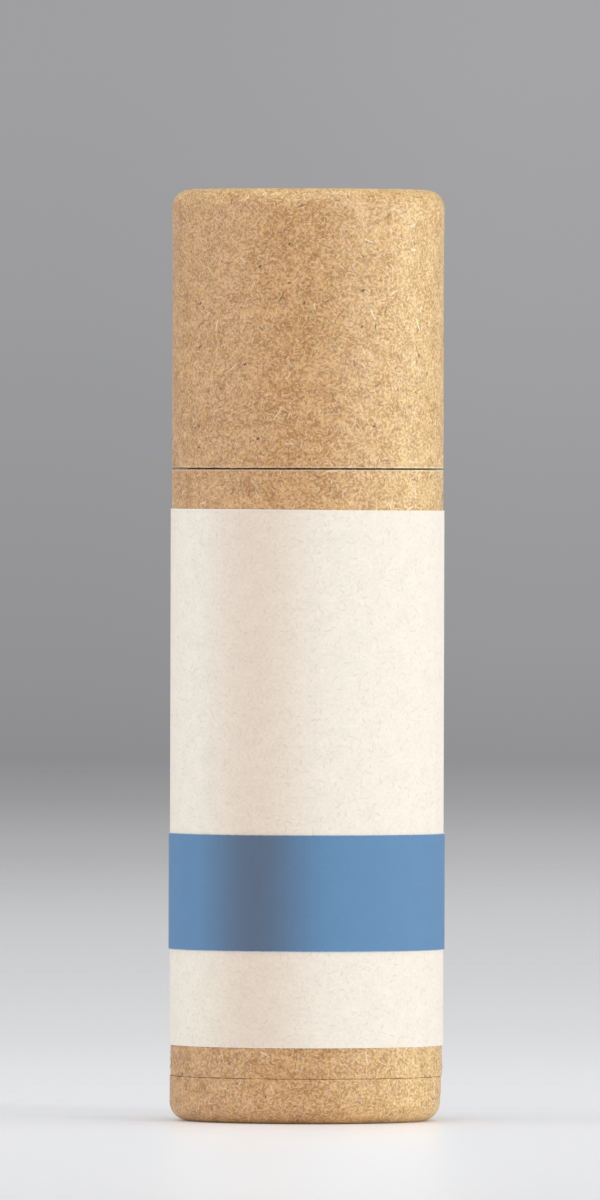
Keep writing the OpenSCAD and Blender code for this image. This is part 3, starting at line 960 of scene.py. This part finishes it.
# %% [markdown]
# ## Fibres strewn over a sheet
#
# All the fibres of a sheet are one mesh, because a thousand objects are slow to handle, and a seed makes them fall
# in the same places each time. The cap gets a little under one fibre for each square millimetre and the bare
# strips of the sleeve about half as many. The turn base is handled most, so it is smooth and gets none.

# %% Strew the fibres
SEAT = 0.015  # how deep a fibre's end sits in the paper
END_MARGIN = 0.02  # every fibre stops this far before the end of the line
FREE_SHARE = 0.35  # fibres that are seated at one end only, and stand up twice as high


def fibre_piece(name, body, points, faces):
    """The slivers as one piece that rides on its sheet's body."""
    piece = add_mesh(name, points, faces)
    piece.data.materials.append(fibre_paint)
    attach(piece, body)
    print(name, "has", len(faces), "faces")


def loose_fibres(name, body, line, count, seed, margin=0.6):
    """line is the sheet's outer line, and margin the distance that a fibre's middle keeps from its ends."""
    pick = random.Random(seed)
    total = sum(math.hypot(b[0] - a[0], b[1] - a[1]) for a, b in zip(line, line[1:]))
    points, faces = [], []
    for _ in range(count):
        length = pick.uniform(0.35, 0.95)
        lie = pick.uniform(0, math.tau)
        a = pick.uniform(0, math.tau)
        s = pick.uniform(margin, total - margin)
        bend = pick.uniform(-0.5, 0.5)
        free = pick.random() < FREE_SHARE
        rise = pick.uniform(0.02, 0.06)
        path = []
        for f in steps(0, 1, len(TAPER) - 1):
            heading = lie + bend * (f - 0.5)
            along = (f - 0.5) * length
            lift = rise * f * 2 if free else rise * math.sin(math.pi * f)
            s_here = max(END_MARGIN, min(total - END_MARGIN, s + along * math.sin(heading)))
            path.append(place_on(line, s_here, a + along * math.cos(heading) / TUBE_R, lift - SEAT))
        sliver(points, faces, path, pick.uniform(0.010, 0.019))
    fibre_piece(name, body, points, faces)


BARE_R = TUBE_R + BARE_RISE
LABEL_MARGIN = 0.3  # no fibre reaches the label
bare_cap = [(r + BARE_RISE, z) for r, z in cap_line(0)]
bare_above = [(BARE_R, LABEL_TOP + LABEL_MARGIN), (BARE_R, SLEEVE_TOP)]
bare_below = [(BARE_R, SLEEVE_FOOT), (BARE_R, LABEL_FOOT - LABEL_MARGIN)]
loose_fibres("cap_fibres", "cap", bare_cap, 1100, 41)
loose_fibres("sleeve_upper_fibres", "body", bare_above, 110, 43, margin=0.35)
loose_fibres("sleeve_lower_fibres", "body", bare_below, 70, 47, margin=0.35)

# %% [markdown]
# ## Torn fibres at the seam
#
# The seam below the cap is a dark line in the photograph, and short torn fibres break it: they hang from the cut
# edge of the cap and stand on that of the sleeve. A wavy edge alone would still look like a drawn line.


# %% Fray the seam
def torn_fibres(name, body, edge_z, toward, count, seed, reach):
    """Short fibres on a cut edge that point into the seam. toward is 1 for up and -1 for down."""
    pick = random.Random(seed)
    seat = 0.05
    points, faces = [], []
    for _ in range(count):
        a = pick.uniform(0, math.tau)
        r = TUBE_R + pick.uniform(-0.09, 0.01)
        lean = pick.uniform(-0.8, 0.8)
        tip = pick.uniform(0.4, 1.0) * reach
        path = []
        for f in steps(0, 1, len(TAPER) - 1):
            turn = a + lean * tip * f / TUBE_R
            out = r + 0.02 * f
            z = edge_z + toward * ((tip + seat) * f - seat)
            path.append(Vector((out * math.cos(turn), out * math.sin(turn), z)) * MM)
        sliver(points, faces, path, pick.uniform(0.009, 0.016))
    fibre_piece(name, body, points, faces)


torn_fibres("cap_edge_fibres", "cap", CAP_FOOT, -1, 420, 53, reach=0.1)
torn_fibres("sleeve_edge_fibres", "body", SLEEVE_TOP, 1, 420, 59, reach=0.08)

# %% [markdown]
# ## Floor
#
# The stick stands on a pale floor that ends in a grey backdrop without a horizon line. A bent sheet of card does
# that for one camera only. So the floor is a wide disc with a painted falloff of light, palest round the stick and
# a little greyer with distance, and then it turns see-through, so that the grey of the air takes over. From below
# it is see-through as well, to show the underside of the stick. A faint glow that only the camera sees lifts it to
# near white.


# %% Floor
def grey_ramp(tree, value, stops):
    """A row of greys, each at its own value. They are a touch blue, as in the photograph."""
    first, last = stops[0][0], stops[-1][0]
    share = calc(tree, "DIVIDE", calc(tree, "SUBTRACT", value, first), last - first)
    node = place(tree, "ValToRGB", {0: share})
    ramp = node.color_ramp
    for at, grey in stops:
        at = (at - first) / (last - first)
        mark = ramp.elements[0] if at == 0 else ramp.elements[-1] if at == 1 else ramp.elements.new(at)
        mark.color = paint(grey, grey, grey + 1.5)
    return node.outputs[0]


def disc_mesh(name, radii, columns=96):
    """A flat disc with a pinhole in its middle. radii are those of its rings, in metres."""
    turns = [math.tau * c / columns for c in range(columns)]
    points = [(r * math.cos(turn), r * math.sin(turn), 0.0) for r in radii for turn in turns]
    faces = []
    for low in range(0, len(points) - columns, columns):
        for c in range(columns):
            d = (c + 1) % columns
            faces.append((low + c, low + columns + c, low + columns + d, low + d))
    return add_mesh(name, points, faces)


floor = disc_mesh("floor", [0.00001, 0.05, 0.3, 1.0, 3.2])
# painted falloff of light: the floor's grey at each distance from the stick, palest where the lamps light it most
FLOOR_FALLOFF_GREYS = [  # distance in metres, grey
    (0.0, 246), (0.12, 241), (0.22, 233), (0.45, 226), (0.8, 222), (3.0, 214),
]
FLOOR_FADE = (1.05, 0.45)  # see-through from the first distance on, and solid up to the second
FLOOR_GLOW = 0.08

floor_paint, tree, shader = new_material("floor_board", {"Emission Strength": 1.0})
position = place(tree, "TexCoord").outputs["Object"]
far = place(tree, "VectorMath", {0: position}, operation="LENGTH").outputs["Value"]
dust = place(tree, "TexNoise", {"Vector": position, "Scale": 900.0, "Detail": 2.0}).outputs[0]
dust_grey = even_grey(tree, fade(tree, dust, 0.2, 0.8, 0.985, 1.0))
glow = calc(tree, "MULTIPLY", place(tree, "LightPath").outputs["Is Camera Ray"], FLOOR_GLOW)
from_above = calc(tree, "SUBTRACT", 1.0, place(tree, "NewGeometry").outputs["Backfacing"])
feed(tree, shader, {
    "Base Color": times(tree, grey_ramp(tree, far, FLOOR_FALLOFF_GREYS), dust_grey),
    "Roughness": fade(tree, dust, 0.2, 0.8, 0.30, 0.36),
    "Emission Color": even_grey(tree, glow),
    "Alpha": calc(tree, "MULTIPLY", fade(tree, far, *FLOOR_FADE), from_above),
})
floor.data.materials.append(floor_paint)
print("floor of", len(floor.data.polygons), "faces")

# %% [markdown]
# ## Light
#
# A lamp at the right gives the bright right side of the tube. A small one at the front right makes the soft
# shadow left of the foot, a very wide one at the left keeps that side open, and one overhead lights the floor
# and the rim. The air adds an even fill. Their sum is near 1 on a white card, so colours come out as written.

# %% Lamps
AIM = Vector((0, 0, 0.035))  # the middle of the stick
LAMPS = [  # name, degrees to the right of the front, degrees up, distance, size, watts
    ("key_right", 94, 8, 0.6, (0.26, 0.42), 0.77),
    ("front_right", 46, 17, 0.9, (0.1, 0.1), 1.45),
    ("fill_left", -76, 14, 0.9, (1.2, 1.2), 2.8),
    ("overhead", 10, 80, 0.8, (0.7, 0.7), 1.6),
]
for name, azimuth, elevation, distance, size, watts in LAMPS:
    lamp = bpy.data.lights.new(name, "AREA")
    lamp.shape = "RECTANGLE"
    lamp.size, lamp.size_y = size
    lamp.energy = watts
    a, e = math.radians(azimuth), math.radians(elevation)
    way = Vector((math.sin(a) * math.cos(e), -math.cos(a) * math.cos(e), math.sin(e)))
    holder = add_object(name, lamp)
    holder.location = AIM + way * distance
    holder.rotation_euler = (-way).to_track_quat("-Z", "Y").to_euler()
    print(name, "at", [round(c, 2) for c in holder.location])

# %% [markdown]
# ## Backdrop
#
# The camera sees the air as a grey backdrop, and so do glossy surfaces. Its grey goes by the slope of the view: it
# is palest low down, where it meets the floor, darkest just under the level view, and a little darker on the
# left, as in the photograph. All other light from the air is even, so the backdrop doesn't change the stick.

# %% World
AIR_LIGHT = (0.70, 0.71, 0.72, 1.0)
BACKDROP_GREYS = [  # slope of the view, grey
    (-0.04, 238), (-0.0351, 235), (-0.028, 216), (-0.0221, 192), (-0.0182, 171), (-0.0163, 154),
    (-0.0143, 141), (-0.0084, 147), (0.0, 151), (0.0083, 156), (0.02, 159),
]
RIGHT_GAIN = (1.08, 1.08, 1.08, 1.0)  # how much paler the backdrop is on the right
world = bpy.data.worlds.new("studio_air")
bpy.context.scene.world = world
world.use_nodes = True
tree = world.node_tree
x, y, z = split(tree, place(tree, "TexCoord").outputs["Generated"])
backdrop = grey_ramp(tree, z, BACKDROP_GREYS)
backdrop = tint(tree, fade(tree, x, -0.012, 0.012), backdrop, times(tree, backdrop, RIGHT_GAIN))
ray = place(tree, "LightPath").outputs
seen = strongest(tree, [ray["Is Camera Ray"], ray["Is Glossy Ray"]])
feed(tree, tree.nodes["Background"], {"Color": tint(tree, seen, AIR_LIGHT, backdrop), "Strength": 1.0})
print("backdrop of", len(BACKDROP_GREYS), "greys")

# %% [markdown]
# ## Camera
#
# In the photograph the seams and the edges of the label are straight lines and only the foot and the rim are
# slightly curved. So the eye is far off, 1.5 m here, and as high as the seam of the cap. A very long lens fills
# the frame. The tube leans a sixth of a degree to the right, which is a roll of the camera.

# %% Camera
ASIDE = -0.000545  # the stick stands half a millimetre to the right of the middle
EYE = Vector((ASIDE, -1.5, 0.048))
LOOK_AT = Vector((ASIDE, 0.0, 0.03842))
FRAME_H = 0.0886  # height of the frame where the stick stands
LEAN = 0.15  # degrees
lens = bpy.data.cameras.new("camera")
lens.sensor_width = 36
lens.lens = lens.sensor_width * (LOOK_AT - EYE).length / FRAME_H
lens.clip_start, lens.clip_end = 0.05, 30
camera = add_object("camera", lens)
camera.location = EYE
camera.rotation_mode = "QUATERNION"
roll = Quaternion((0, 0, 1), math.radians(LEAN))
camera.rotation_quaternion = (LOOK_AT - EYE).to_track_quat("-Z", "Y") @ roll
bpy.context.scene.camera = camera
bpy.context.scene.view_settings.view_transform = "Standard"
print("lens of", round(lens.lens), "mm")
